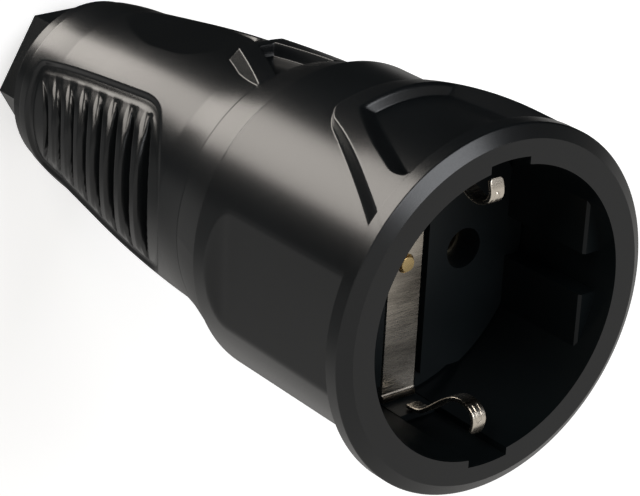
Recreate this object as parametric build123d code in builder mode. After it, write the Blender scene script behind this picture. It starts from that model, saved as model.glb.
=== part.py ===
from build123d import *
import math
import os

os.makedirs("parts", exist_ok=True)

# Schuko coupler for the end of a flexible lead. It stands on its tail nut with the
# mouth up: Z is the coupler's axis, and the thumb pockets face -Y.
# Sizes are in millimetres. A depth is measured from the mouth plane towards the tail.

# Socket face
pin_spacing = 19.0
pin_hole_radius = 2.82
contact_radius = 2.42
recess_radius = 19.92
recess_depth = 17.8
groove_half_width = 3.19
groove_radius = 20.95
guide_chord = 17.0
guide_gap = 5.8
guide_start = 3.1
guide_bevel = 0.35

# Front housing
flange_radius = 24.98
flange_depth = 3.3
rim_chamfer_width = 1.74
rim_chamfer_depth = 1.07
body_radius = 22.45
body_draft = 0.11
housing_length = 34.4
edge_round = 0.3
side_flat_offset = 20.8
side_flat_end = 27.8
side_flat_runout = 4.0
side_flat_exit = 0.4
side_flat_bend_rise = 0.3
side_flat_bend_run = 0.68

# Thumb saddle and pocket on the front housing
saddle_crown_depth = 10.0
saddle_length = 25.3
saddle_drop = 1.9
saddle_front_half_width = 18.2
saddle_side_slope = 0.42
saddle_corner = 7.0
saddle_heel = 1.2
saddle_from_rim = 0.5
saddle_fall_share = 0.24
saddle_sink = 0.2
pocket_end = 19.2
pocket_floor_half_width = 9.45
pocket_side_slope = 0.77
pocket_wall_run = 2.1
pocket_rear_corner = 2.0
pocket_front_corner = 1.4

# Seam, shoulder and grip
seam_gap = 0.15
shoulder_length = 6.35
shoulder_front_radius = 22.07
shoulder_rear_radius = 20.13
grip_length = 49.3
neck_radius = 18.78
neck_at = 6.6
neck_bend = 0.36
belly_radius = 17.96
belly_at = 19.1
taper_radius = 16.4
taper_at = 31.1
tail_waist_radius = 14.85
tail_waist_before_end = 8.2
tail_radius = 13.75
tail_bow = 0.16
jacket_gap = 0.1
core_front_radius = 14.4
core_rear_radius = 11.8
core_wall = 2.5

# Saddle, pocket and thumb scoop on the grip
collar_length = 10.4
collar_radius = 20.3
collar_half_width = 7.0
collar_side_slope = 0.394
collar_wall_run = 0.57
collar_rear_run = 0.6
collar_corner = 0.9
collar_depth = 4.5
collar_pocket_radius = 18.4
collar_pocket_length = 8.5
collar_pocket_rear_half_width = 1.75
collar_pocket_slope = 0.37
collar_pocket_run = 0.06
collar_pocket_corner = 0.5
collar_pocket_sag = 2.5
scoop_half_width = 6.67
scoop_start = 14.4
scoop_length = 27.0
scoop_rise = 16.55
scoop_rear_share = 0.9
scoop_hollow = 0.15

# Ribbed finger panels
panel_start = 7.2
panel_length = 39.6
panel_front_half_height = 13.3
panel_rear_half_height = 8.1
panel_side_bow = 0.4
panel_front_bulge = 6.9
panel_corner = 3.0
panel_depth = 0.7
panel_border = 1.7
groove_count = 8
groove_pitch = 4.2
first_groove_at = 12.0
groove_bow = 3.4
groove_end_margin = 0.4
groove_floor_width = 0.5
groove_front_floor = 13.95
groove_rear_floor = 12.6
groove_draft = 11.0
groove_cut = 6.0
rib_width = 1.8

# Tail ring and cable gland
tail_ring_length = 3.3
tail_ring_radius = 13.45
tail_face_radius = 12.4
tail_ring_draft = 0.15
tail_ring_straight = 0.6
gland_bore_radius = 10.1
gland_bore_length = 18.3
throat_radius = 6.6
throat_length = 2.2
nut_gap = 0.2
nut_height = 4.2
nut_across_flats = 21.2
nut_shank_radius = 9.8
nut_shank_length = 7.6
nut_bore_radius = 6.6
nut_flare = 1.0
pressure_ring_thickness = 1.3
cage_radius = 9.65
cage_wall = 2.2
cage_root = 2.2
cage_slots = 8
cage_slot_width = 1.2
seal_bore_radius = 5.2
seal_drop = 0.4

# Spigot that joins the two housings
spigot_clearance = 0.3
spigot_wall = 1.8
lug_angle = 45.0
lug_half_angle = 7.0
lug_height = 1.1
lug_length = 2.8
lug_from_seam = 3.6
twist_angle = 25.0
gasket_width = 1.0
gasket_thickness = 1.1

# Contact carrier and its metal parts
insert_clearance = 0.3
insert_thickness = 4.0
strip_width = 5.4
strip_thickness = 0.8
strip_recess = 0.4
channel_half_width = 3.4
ledge_chord = 16.8
ledge_drop = 1.0
leg_end = 13.4
leg_radius = 18.8
key_drop = 0.5
arm_width = 2.2
arm_thickness = 0.6
arm_root = 12.7
arm_crest_depth = 6.3
arm_crest_radius = 13.85
arm_nose_depth = 3.6
arm_nose_radius = 14.6
arm_tip_depth = 2.4
arm_tip_radius = 17.3
arm_bends = [1.2, 1.1, 0.6]
barrel_radius = 5.0
barrel_length = 6.5
sleeve_radius = 3.15
sleeve_slit = 0.6
sleeve_setback = 4.2
cover_thickness = 2.6
cover_clearance = 0.4
post_offset = 11.0
post_radius = 2.8
screw_radius = 1.2
screw_head_radius = 2.2
screw_head_height = 1.5
screw_slot = 0.6
terminal_width = 7.0
terminal_depth = 8.0
terminal_height = 7.4
wire_hole_radius = 1.6
chamber_wall = 1.1
chamber_drop = 1.6
chamber_taper_length = 4.6
wire_hole_root = 1.5
screw_height_share = 0.6
stud_radius = 1.0
stud_proud = 0.1
stud_head_radius = 1.9
stud_head_height = 1.1
stud_hole_gap = 0.35
seat_gap = 0.05
fit_gap = 0.1
overlap = 0.3
cut_past = 1.0

# Depths that follow from the sizes above
shoulder_start = housing_length + seam_gap
grip_start = shoulder_start + shoulder_length
grip_end = grip_start + grip_length
tail_end = grip_end + tail_ring_length
nut_start = tail_end + nut_gap
overall_length = nut_start + nut_height
insert_rear = recess_depth + insert_thickness
sleeve_front = recess_depth + sleeve_setback
cover_front = insert_rear + barrel_length + fit_gap
cover_rear = cover_front + cover_thickness
terminal_end = cover_rear + seat_gap + terminal_height
chamber_taper_start = terminal_end - cut_past
chamber_taper_end = chamber_taper_start + chamber_taper_length
throat_end = tail_end - gland_bore_length
throat_start = throat_end - throat_length
spigot_start = insert_rear + spigot_clearance
spigot_radius = recess_radius - spigot_clearance
spigot_bore = spigot_radius - spigot_wall
cover_radius = spigot_bore - cover_clearance
insert_radius = recess_radius - insert_clearance


def level(depth):
    """Height above the floor of a given depth below the mouth."""
    return overall_length - depth


def drum(radius, start, end, mode=Mode.ADD):
    """Cylinder on the coupler's axis between two depths."""
    with Locations((0, 0, level(end))):
        Cylinder(radius, end - start, align=(Align.CENTER, Align.CENTER, Align.MIN), mode=mode)


def rod(radius, x, y, start, end, mode=Mode.ADD):
    """Cylinder parallel to the axis at x, y between two depths."""
    with Locations((x, y, level(end))):
        Cylinder(radius, end - start, align=(Align.CENTER, Align.CENTER, Align.MIN), mode=mode)


def block(x_range, y_range, start, end, mode=Mode.ADD):
    """Box given by its limits in x and y and its two depths."""
    centre_x = (x_range[0] + x_range[1]) / 2
    centre_y = (y_range[0] + y_range[1]) / 2
    with Locations((centre_x, centre_y, level((start + end) / 2))):
        Box(x_range[1] - x_range[0], y_range[1] - y_range[0], end - start, mode=mode)


def ring_sector(inner, outer, start_angle, end_angle, start, end, mode=Mode.ADD):
    """Part of a ring between two radii, two angles in degrees and two depths."""
    sweep_angle = end_angle - start_angle
    with BuildSketch(Plane.XY.offset(level(end))) as section:
        with BuildLine():
            outer_arc = CenterArc((0, 0), outer, start_angle, sweep_angle)
            inner_arc = CenterArc((0, 0), inner, start_angle, sweep_angle)
            Line(outer_arc @ 0, inner_arc @ 0)
            Line(outer_arc @ 1, inner_arc @ 1)
        make_face()
    extrude(section.sketch, amount=end - start, mode=mode)


def thumb_wedge(low, high, outline, rear_corner, front_corner=0.0):
    """Block on the -Y side between two heights above the axis.

    outline(height) gives its start and end depth and its half widths there. The corners of
    the outline are rounded.
    """
    sections = []
    for height in (low, high):
        start, end, front, rear = outline(height)
        with BuildSketch(Plane.XZ.offset(height)) as section:
            with BuildLine():
                Polyline(
                    (-front, level(start)),
                    (front, level(start)),
                    (rear, level(end)),
                    (-rear, level(end)),
                    close=True,
                )
            make_face()
            rear_pair, front_pair = section.vertices().group_by(Axis.Y)
            fillet(rear_pair, radius=rear_corner)
            if front_corner > 0:
                fillet(front_pair, radius=front_corner)
        sections.append(section.sketch)
    loft(sections)


def grip_profile(inset):
    """Outline of the grip from its front face to its tail, drawn inset below its surface."""
    front = (shoulder_rear_radius - inset, level(grip_start + jacket_gap))
    neck = (neck_radius - inset, level(grip_start + neck_at))
    belly = (belly_radius - inset, level(grip_start + belly_at))
    taper = (taper_radius - inset, level(grip_start + taper_at))
    waist = (tail_waist_radius - inset, level(grip_end - tail_waist_before_end))
    tail = (tail_radius - inset, level(grip_end))
    flare_middle = (
        neck_radius - inset + (shoulder_rear_radius - neck_radius) * neck_bend,
        level(grip_start + neck_at / 2),
    )
    tail_middle = (
        (tail_waist_radius + tail_radius) / 2 - inset + tail_bow,
        level(grip_end - tail_waist_before_end / 2),
    )
    ThreePointArc(front, flare_middle, neck)
    ThreePointArc(neck, belly, taper)
    Line(taper, waist)
    ThreePointArc(waist, tail_middle, tail)
    Line(tail, (0, level(grip_end)))
    Line((0, level(grip_end)), (0, level(grip_start + jacket_gap)))
    Line((0, level(grip_start + jacket_gap)), front)


# Front housing: flange, body, saddle, pocket, side flats, recess, guides and bayonet
with BuildPart() as saddle:
    with BuildSketch(Plane.XZ):
        with BuildLine():
            crown = (flange_radius, level(saddle_crown_depth))
            heel = (flange_radius - saddle_drop, level(saddle_length - saddle_heel))
            mid_depth = (saddle_crown_depth + saddle_length - saddle_heel) / 2
            mid = (flange_radius - saddle_drop * saddle_fall_share, level(mid_depth))
            front_level = level(rim_chamfer_depth + saddle_from_rim)
            root_radius = body_radius - body_draft - saddle_sink
            Polyline((0, front_level), (flange_radius, front_level), crown)
            ThreePointArc(crown, mid, heel)
            Polyline(heel, (root_radius, level(saddle_length)), (0, level(saddle_length)))
            Line((0, level(saddle_length)), (0, front_level))
        make_face()
    revolve(axis=Axis.Z)
    with BuildSketch(Plane.XZ) as saddle_plan:
        saddle_rear_half_width = (
            saddle_front_half_width - saddle_side_slope * (saddle_length - flange_depth)
        )
        with BuildLine():
            Polyline(
                (-saddle_front_half_width, level(rim_chamfer_depth)),
                (-saddle_front_half_width, level(flange_depth)),
                (-saddle_rear_half_width, level(saddle_length)),
                (saddle_rear_half_width, level(saddle_length)),
                (saddle_front_half_width, level(flange_depth)),
                (saddle_front_half_width, level(rim_chamfer_depth)),
                close=True,
            )
        make_face()
        fillet(saddle_plan.vertices().group_by(Axis.Y)[0], radius=saddle_corner)
    extrude(saddle_plan.sketch, amount=flange_radius + cut_past, mode=Mode.INTERSECT)

with BuildPart() as thumb_pocket:
    pocket_middle = (flange_depth + pocket_end) / 2
    pocket_floor_height = math.sqrt(body_radius**2 - pocket_floor_half_width**2)

    def pocket_outline(height):
        middle = pocket_floor_half_width + pocket_wall_run * (height - pocket_floor_height)
        reach = pocket_side_slope * (pocket_end - pocket_middle)
        return flange_depth, pocket_end, middle + reach, middle - reach

    thumb_wedge(pocket_floor_height - 2 * overlap, flange_radius + cut_past, pocket_outline,
                pocket_rear_corner, pocket_front_corner)
    drum(body_radius, flange_depth - cut_past, pocket_end + cut_past, Mode.SUBTRACT)

with BuildPart() as front_housing:
    with BuildSketch(Plane.XZ):
        with BuildLine():
            Polyline(
                (0, level(0)),
                (flange_radius - rim_chamfer_width, level(0)),
                (flange_radius, level(rim_chamfer_depth)),
                (flange_radius, level(flange_depth)),
                (body_radius, level(flange_depth)),
                (body_radius - body_draft, level(housing_length - edge_round)),
                (body_radius - body_draft - edge_round, level(housing_length)),
                (0, level(housing_length)),
                close=True,
            )
        make_face()
    revolve(axis=Axis.Z)
    add(saddle.part)
    add(thumb_pocket.part, mode=Mode.SUBTRACT)
    # Side flats that run out in a hollow sweep towards the seam
    for side in (1, -1):
        with BuildSketch(Plane.XZ) as flat_cut:
            with BuildLine():
                run_start = (side * side_flat_offset, level(side_flat_end))
                exit_radius = body_radius + side_flat_exit
                run_end = (side * exit_radius, level(side_flat_end + side_flat_runout))
                run_mid = (
                    side * (side_flat_offset + (exit_radius - side_flat_offset) * side_flat_bend_rise),
                    level(side_flat_end + side_flat_runout * side_flat_bend_run),
                )
                outside = side * (flange_radius + cut_past)
                Line((side * side_flat_offset, level(flange_depth)), run_start)
                ThreePointArc(run_start, run_mid, run_end)
                Line(run_end, (outside, level(side_flat_end + side_flat_runout)))
                Line((outside, level(side_flat_end + side_flat_runout)), (outside, level(flange_depth)))
                Line((outside, level(flange_depth)), (side * side_flat_offset, level(flange_depth)))
            make_face()
        extrude(flat_cut.sketch, amount=body_radius / 2, both=True, mode=Mode.SUBTRACT)
    drum(recess_radius, 0, housing_length, Mode.SUBTRACT)
    # Grooves for the earth clips, cut through the rim and along the bore
    with BuildSketch(Plane.XY.offset(level(housing_length))) as clip_grooves:
        Circle(groove_radius)
        Rectangle(2 * groove_half_width, 2 * groove_radius, mode=Mode.INTERSECT)
    extrude(clip_grooves.sketch, amount=housing_length, mode=Mode.SUBTRACT)
    # Four guide ribs stand on the side walls of the recess
    for side in (1, -1):
        for half in (1, -1):
            with BuildSketch(Plane.XY.offset(level(recess_depth))) as guide:
                Circle(recess_radius + overlap)
                reach = recess_radius / 2
                with Locations((side * (guide_chord + reach), half * (guide_gap / 2 + reach))):
                    Rectangle(recess_radius, recess_radius, mode=Mode.INTERSECT)
            extrude(guide.sketch, amount=recess_depth - guide_start)
    guide_top = level(guide_start)
    guide_edges = front_housing.edges().filter_by(Axis.Y)
    guide_edges = guide_edges.filter_by_position(Axis.Z, guide_top - seat_gap, guide_top + seat_gap)
    chamfer(guide_edges, length=guide_bevel)
    # Bayonet tracks for the lugs of the rear housing
    lug_clear_angle = math.degrees(spigot_clearance / recess_radius)
    lug_near = housing_length - lug_from_seam
    track_radius = spigot_radius + lug_height + spigot_clearance
    for turn in (0, 180):
        low_angle = turn + lug_angle - lug_half_angle - lug_clear_angle
        high_angle = turn + lug_angle + lug_half_angle + lug_clear_angle
        ring_sector(
            recess_radius - cut_past, track_radius, low_angle, high_angle + twist_angle,
            lug_near - lug_length - spigot_clearance, lug_near + seat_gap, Mode.SUBTRACT,
        )
        ring_sector(
            recess_radius - cut_past, track_radius, low_angle + twist_angle, high_angle + twist_angle,
            lug_near, housing_length, Mode.SUBTRACT,
        )
front_housing.part.label = "front_housing"
export_step(front_housing.part, "parts/front_housing.step")

# Contact carrier: face plate with its strip channel, key lugs, barrels and screw posts
channel_floor = recess_depth + strip_recess + strip_thickness
lug_inner = leg_radius + strip_thickness + seat_gap
key_half_width = groove_half_width - 2 * fit_gap
lug_outer = math.sqrt(groove_radius**2 - key_half_width**2) - fit_gap
with BuildPart() as socket_insert:
    drum(insert_radius, recess_depth, insert_rear)
    for side in (1, -1):
        near = side * ledge_chord
        far = side * (insert_radius + cut_past)
        block((-insert_radius, insert_radius), sorted((near, far)), recess_depth,
              recess_depth + ledge_drop, Mode.SUBTRACT)
        key_x = (-key_half_width, key_half_width)
        block(key_x, sorted((side * (leg_radius - cut_past), side * lug_outer)), channel_floor, insert_rear)
        block(key_x, sorted((side * lug_inner, side * lug_outer)), leg_end + key_drop, insert_rear)
        rod(post_radius, 0, side * post_offset, insert_rear, cover_front - fit_gap)
        rod(barrel_radius, side * pin_spacing / 2, 0, insert_rear, cover_front - fit_gap)
    block((-channel_half_width, channel_half_width), (-lug_inner, lug_inner), recess_depth,
          channel_floor, Mode.SUBTRACT)
    for side in (1, -1):
        rod(pin_hole_radius, side * pin_spacing / 2, 0, recess_depth, sleeve_front, Mode.SUBTRACT)
        rod(sleeve_radius + fit_gap, side * pin_spacing / 2, 0, sleeve_front - fit_gap, cover_front,
            Mode.SUBTRACT)
        rod(screw_radius + fit_gap, 0, side * post_offset, insert_rear - cut_past, cover_front,
            Mode.SUBTRACT)
    rod(stud_radius + fit_gap, 0, 0, recess_depth, insert_rear, Mode.SUBTRACT)
    rod(stud_head_radius + fit_gap, 0, 0, channel_floor, channel_floor + stud_head_height + fit_gap,
        Mode.SUBTRACT)
socket_insert.part.label = "socket_insert"
export_step(socket_insert.part, "parts/socket_insert.step")

# Earth strip: one bent sheet, narrowed to a sprung hook at each end
with BuildPart() as earth_strip:
    middle = recess_depth + strip_recess + strip_thickness / 2
    leg_line = leg_radius + strip_thickness / 2
    with BuildLine() as strip_path:
        FilletPolyline(
            (0, -leg_line, level(leg_end)),
            (0, -leg_line, level(middle)),
            (0, leg_line, level(middle)),
            (0, leg_line, level(leg_end)),
            radius=strip_thickness,
        )
    strip_plane = Plane(origin=strip_path.line @ 0, x_dir=(1, 0, 0), z_dir=strip_path.line % 0)
    with BuildSketch(strip_plane) as strip_section:
        Rectangle(strip_width, strip_thickness)
    sweep(strip_section.sketch, path=strip_path.line)
    for side in (1, -1):
        half = arm_thickness / 2
        with BuildLine() as arm_path:
            FilletPolyline(
                (0, side * leg_line, level(leg_end + cut_past)),
                (0, side * leg_line, level(arm_root)),
                (0, side * (arm_crest_radius + half), level(arm_crest_depth)),
                (0, side * (arm_nose_radius + half), level(arm_nose_depth)),
                (0, side * arm_tip_radius, level(arm_tip_depth)),
                radius=arm_bends,
            )
        arm_plane = Plane(origin=arm_path.line @ 0, x_dir=(1, 0, 0), z_dir=arm_path.line % 0)
        with BuildSketch(arm_plane) as arm_section:
            Rectangle(arm_width, arm_thickness)
        sweep(arm_section.sketch, path=arm_path.line)
    rod(stud_radius + stud_hole_gap, 0, 0, recess_depth - cut_past, channel_floor + cut_past,
        Mode.SUBTRACT)
earth_strip.part.label = "earth_strip"
export_step(earth_strip.part, "parts/earth_strip.step")

# Earth stud: joins the strip to the earth terminal through the carrier
with BuildPart() as earth_stud:
    rod(stud_radius, 0, 0, recess_depth - stud_proud, cover_rear)
    rod(stud_head_radius, 0, 0, channel_floor + seat_gap, channel_floor + stud_head_height)
earth_stud.part.label = "earth_stud"
export_step(earth_stud.part, "parts/earth_stud.step")

# Carrier cover: closes the barrels and walls in the three terminals
terminal_places = {"neutral": -pin_spacing / 2, "earth": 0.0, "live": pin_spacing / 2}
with BuildPart() as insert_cover:
    drum(cover_radius, cover_front, cover_rear)
    chamber_x = terminal_width / 2 + fit_gap + chamber_wall
    chamber_y = terminal_depth / 2 + fit_gap + chamber_wall
    outer_x = pin_spacing / 2 + chamber_x
    block((-outer_x, outer_x), (-chamber_y, chamber_y), cover_rear, terminal_end - chamber_drop)
    for place in terminal_places.values():
        half_x = terminal_width / 2 + fit_gap
        block((place - half_x, place + half_x), (-chamber_y - cut_past, chamber_y - chamber_wall),
              cover_rear, terminal_end, Mode.SUBTRACT)
    for side in (1, -1):
        rod(sleeve_radius + fit_gap, side * pin_spacing / 2, 0, cover_front, cover_rear, Mode.SUBTRACT)
        rod(screw_radius + overlap, 0, side * post_offset, cover_front, cover_rear, Mode.SUBTRACT)
    rod(stud_radius + fit_gap, 0, 0, cover_front, cover_rear, Mode.SUBTRACT)
insert_cover.part.label = "insert_cover"
export_step(insert_cover.part, "parts/insert_cover.step")

# Contact sleeves: slit tubes that grip the plug's pins
for name, side in (("live", 1), ("neutral", -1)):
    with BuildPart() as contact:
        rod(sleeve_radius, side * pin_spacing / 2, 0, sleeve_front, cover_rear)
        rod(contact_radius, side * pin_spacing / 2, 0, sleeve_front, cover_rear, Mode.SUBTRACT)
        middle_x = side * pin_spacing / 2
        block((middle_x - sleeve_slit / 2, middle_x + sleeve_slit / 2), (-sleeve_radius, sleeve_radius),
              sleeve_front, cover_front - cut_past, Mode.SUBTRACT)
    contact.part.label = name + "_contact"
    export_step(contact.part, "parts/" + name + "_contact.step")

# Terminal blocks, each with a wire hole from the rear and a screw hole from the -Y side
for name, place in terminal_places.items():
    face = -terminal_depth / 2
    screw_depth = cover_rear + seat_gap + terminal_height * screw_height_share
    with BuildPart() as terminal:
        half_x = terminal_width / 2
        half_y = terminal_depth / 2
        block((place - half_x, place + half_x), (-half_y, half_y), cover_rear + seat_gap, terminal_end)
        rod(wire_hole_radius, place, 0, cover_rear + wire_hole_root, terminal_end, Mode.SUBTRACT)
        with Locations(Plane((place, face, level(screw_depth)), z_dir=(0, 1, 0))):
            Cylinder(screw_radius + fit_gap, half_y, align=(Align.CENTER, Align.CENTER, Align.MIN),
                     mode=Mode.SUBTRACT)
    terminal.part.label = name + "_terminal"
    export_step(terminal.part, "parts/" + name + "_terminal.step")

    with BuildPart() as terminal_screw:
        with Locations(Plane((place, face - seat_gap, level(screw_depth)), z_dir=(0, -1, 0))):
            Cylinder(screw_head_radius, screw_head_height, align=(Align.CENTER, Align.CENTER, Align.MIN))
        with Locations(Plane((place, face - seat_gap, level(screw_depth)), z_dir=(0, 1, 0))):
            Cylinder(screw_radius, half_y - 2 * overlap, align=(Align.CENTER, Align.CENTER, Align.MIN))
        with Locations((place, face - seat_gap - screw_head_height, level(screw_depth))):
            Box(2 * screw_head_radius, screw_head_height, screw_slot, mode=Mode.SUBTRACT)
    terminal_screw.part.label = name + "_terminal_screw"
    export_step(terminal_screw.part, "parts/" + name + "_terminal_screw.step")

# Two screws hold the cover to the carrier's posts
for name, side in (("upper", 1), ("lower", -1)):
    with BuildPart() as insert_screw:
        rod(screw_head_radius, 0, side * post_offset, cover_rear + seat_gap, cover_rear + screw_head_height)
        rod(screw_radius, 0, side * post_offset, insert_rear + overlap, cover_rear + seat_gap)
        block((-screw_head_radius, screw_head_radius),
              (side * post_offset - screw_slot / 2, side * post_offset + screw_slot / 2),
              cover_rear + screw_head_height / 2, cover_rear + screw_head_height, Mode.SUBTRACT)
    insert_screw.part.label = "insert_screw_" + name
    export_step(insert_screw.part, "parts/insert_screw_" + name + ".step")

# Rear housing: spigot with bayonet lugs, shoulder, hollow core and tail ring
gasket_middle = (spigot_radius + shoulder_front_radius) / 2
chamber_front_radius = core_front_radius - core_wall
core_slope = (core_front_radius - core_rear_radius) / grip_length
chamber_rear_radius = chamber_front_radius - core_slope * (throat_start - grip_start)
ring_bend = grip_end + tail_ring_length * tail_ring_straight
with BuildPart() as rear_housing:
    with BuildSketch(Plane.XZ):
        with BuildLine():
            Polyline(
                (spigot_bore, level(spigot_start)),
                (spigot_radius, level(spigot_start)),
                (spigot_radius, level(shoulder_start)),
                (shoulder_front_radius, level(shoulder_start)),
                (shoulder_rear_radius, level(grip_start)),
                (core_front_radius, level(grip_start)),
                (core_rear_radius, level(grip_end)),
                (tail_ring_radius, level(grip_end)),
                (tail_ring_radius - tail_ring_draft, level(ring_bend)),
                (tail_face_radius, level(tail_end)),
                (gland_bore_radius, level(tail_end)),
                (gland_bore_radius, level(throat_end)),
                (throat_radius, level(throat_end)),
                (throat_radius, level(throat_start)),
                (chamber_rear_radius, level(throat_start)),
                (chamber_front_radius, level(chamber_taper_end)),
                (spigot_bore, level(chamber_taper_start)),
                close=True,
            )
        make_face()
    revolve(axis=Axis.Z)
    drum(gasket_middle + gasket_width / 2 + seat_gap, shoulder_start, shoulder_start + gasket_thickness,
         Mode.SUBTRACT)
    with BuildSketch(Plane.XY.offset(level(shoulder_start + gasket_thickness))) as gasket_wall:
        Circle(gasket_middle - gasket_width / 2 - seat_gap)
        Circle(spigot_bore, mode=Mode.SUBTRACT)
    extrude(gasket_wall.sketch, amount=gasket_thickness)
    for turn in (0, 180):
        ring_sector(
            spigot_radius - overlap, spigot_radius + lug_height,
            turn + lug_angle - lug_half_angle, turn + lug_angle + lug_half_angle,
            lug_near - lug_length, lug_near,
        )
rear_housing.part.label = "rear_housing"
export_step(rear_housing.part, "parts/rear_housing.step")

# Joint gasket: square ring pressed between the shoulder and the front housing
with BuildPart() as joint_gasket:
    gasket_rear = shoulder_start + gasket_thickness - seat_gap
    drum(gasket_middle + gasket_width / 2, housing_length, gasket_rear)
    drum(gasket_middle - gasket_width / 2, housing_length, gasket_rear, Mode.SUBTRACT)
joint_gasket.part.label = "joint_gasket"
export_step(joint_gasket.part, "parts/joint_gasket.step")

# Collar saddle and pocket that answer the ones on the front housing
collar_start = grip_start + jacket_gap
collar_end = grip_start + collar_length
collar_edge_height = math.sqrt(collar_radius**2 - collar_half_width**2)
with BuildPart() as collar:

    def collar_outline(height):
        rise = height - collar_edge_height
        front = collar_half_width - collar_wall_run * rise
        rear_end = collar_end - collar_rear_run * rise
        return collar_start, rear_end, front, front - collar_side_slope * (rear_end - collar_start)

    thumb_wedge(collar_edge_height - collar_depth, collar_radius + cut_past, collar_outline, collar_corner)
    with BuildSketch(Plane.XY.offset(level(collar_end + cut_past))) as collar_round:
        Circle(collar_radius)
    extrude(collar_round.sketch, amount=collar_length + 2 * cut_past, mode=Mode.INTERSECT)

with BuildPart() as collar_pocket:
    pocket_rear = grip_start + collar_pocket_length

    def collar_pocket_outline(height):
        rear = collar_pocket_rear_half_width + collar_pocket_run * (height - collar_pocket_radius)
        front = rear + collar_pocket_slope * (pocket_rear - grip_start + cut_past)
        return grip_start - cut_past, pocket_rear, front, rear

    thumb_wedge(collar_pocket_radius - collar_pocket_sag, collar_radius + cut_past, collar_pocket_outline,
                collar_pocket_corner)
    drum(collar_pocket_radius, grip_start - 2 * cut_past, pocket_rear + cut_past, Mode.SUBTRACT)

# Thumb scoop behind the collar: hollow floor within a round-fronted outline
with BuildPart() as scoop:
    scoop_front = grip_start + scoop_start
    scoop_rear = scoop_front + scoop_length
    scoop_rear_radius = taper_radius + (tail_waist_radius - taper_radius) * scoop_rear_share
    with BuildSketch(Plane.YZ) as scoop_floor:
        with BuildLine():
            floor_front = (-scoop_rise, level(scoop_front))
            floor_rear = (-scoop_rear_radius, level(scoop_rear))
            middle_rise = (scoop_rise + scoop_rear_radius) / 2 - scoop_hollow
            floor_mid = (-middle_rise, level((scoop_front + scoop_rear) / 2))
            ThreePointArc(floor_front, floor_mid, floor_rear)
            Polyline(
                floor_rear,
                (-flange_radius, level(scoop_rear)),
                (-flange_radius, level(scoop_front)),
                floor_front,
            )
        make_face()
    extrude(scoop_floor.sketch, amount=scoop_half_width, both=True)
    with BuildSketch(Plane.XZ) as scoop_plan:
        with Locations((0, level(scoop_front + scoop_half_width))):
            Circle(scoop_half_width)
        with Locations((0, level((scoop_front + scoop_half_width + scoop_rear) / 2))):
            Rectangle(2 * scoop_half_width, scoop_length - scoop_half_width)
    extrude(scoop_plan.sketch, amount=flange_radius + cut_past, mode=Mode.INTERSECT)

# Grip jacket: soft sleeve on the core, with saddle, scoop and two ribbed panels
groove_places = [first_groove_at + groove_pitch * index for index in range(groove_count)]
groove_run = groove_pitch * (groove_count - 1)


def panel_half_height(depth):
    """Half height of the panel at a distance behind the grip's front."""
    share = (depth - panel_start - panel_front_bulge) / (panel_length - panel_front_bulge)
    straight = panel_front_half_height + (panel_rear_half_height - panel_front_half_height) * share
    return straight + 4 * panel_side_bow * share * (1 - share)


def groove_arc(place, margin):
    """Arc across the grip's side that bulges towards the mouth and stops short of the border."""
    inner = panel_half_height(place + groove_bow) - panel_border
    reach = inner - margin
    middle = level(grip_start + place)
    tip = middle - groove_bow * (reach / inner)**2
    return ThreePointArc((-reach, tip), (0, middle), (reach, tip))


with BuildPart() as panel_recess:
    panel_corner_at = panel_start + panel_front_bulge
    panel_end = panel_start + panel_length
    panel_middle = (panel_corner_at + panel_end) / 2
    with BuildSketch(Plane.YZ) as panel_plan:
        with BuildLine():
            front_corner = (panel_front_half_height, level(grip_start + panel_corner_at))
            side_middle = (panel_half_height(panel_middle), level(grip_start + panel_middle))
            rear_corner = (panel_rear_half_height, level(grip_start + panel_end))
            ThreePointArc(
                (-front_corner[0], front_corner[1]), (0, level(grip_start + panel_start)), front_corner
            )
            ThreePointArc(front_corner, side_middle, rear_corner)
            Line(rear_corner, (-rear_corner[0], rear_corner[1]))
            ThreePointArc(
                (-rear_corner[0], rear_corner[1]), (-side_middle[0], side_middle[1]),
                (-front_corner[0], front_corner[1])
            )
        make_face()
        fillet(panel_plan.vertices(), radius=panel_corner)
        with BuildSketch(mode=Mode.PRIVATE) as inner_field:
            add(panel_plan.sketch)
            offset(amount=-panel_border)
        for place in groove_places[:-1]:
            with BuildLine(mode=Mode.PRIVATE):
                rib_line = groove_arc(place + groove_pitch / 2, -rib_width / 2)
            with BuildSketch(mode=Mode.PRIVATE) as rib:
                SlotArc(rib_line, rib_width)
                add(inner_field.sketch, mode=Mode.INTERSECT)
            add(rib.sketch, mode=Mode.SUBTRACT)
    for side in (1, -1):
        extrude(panel_plan.sketch, amount=side * flange_radius)
    with BuildSketch(Plane.XZ) as recess_floor:
        with BuildLine():
            grip_profile(panel_depth)
        make_face()
    revolve(recess_floor.sketch, axis=Axis.Z, mode=Mode.SUBTRACT)

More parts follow.
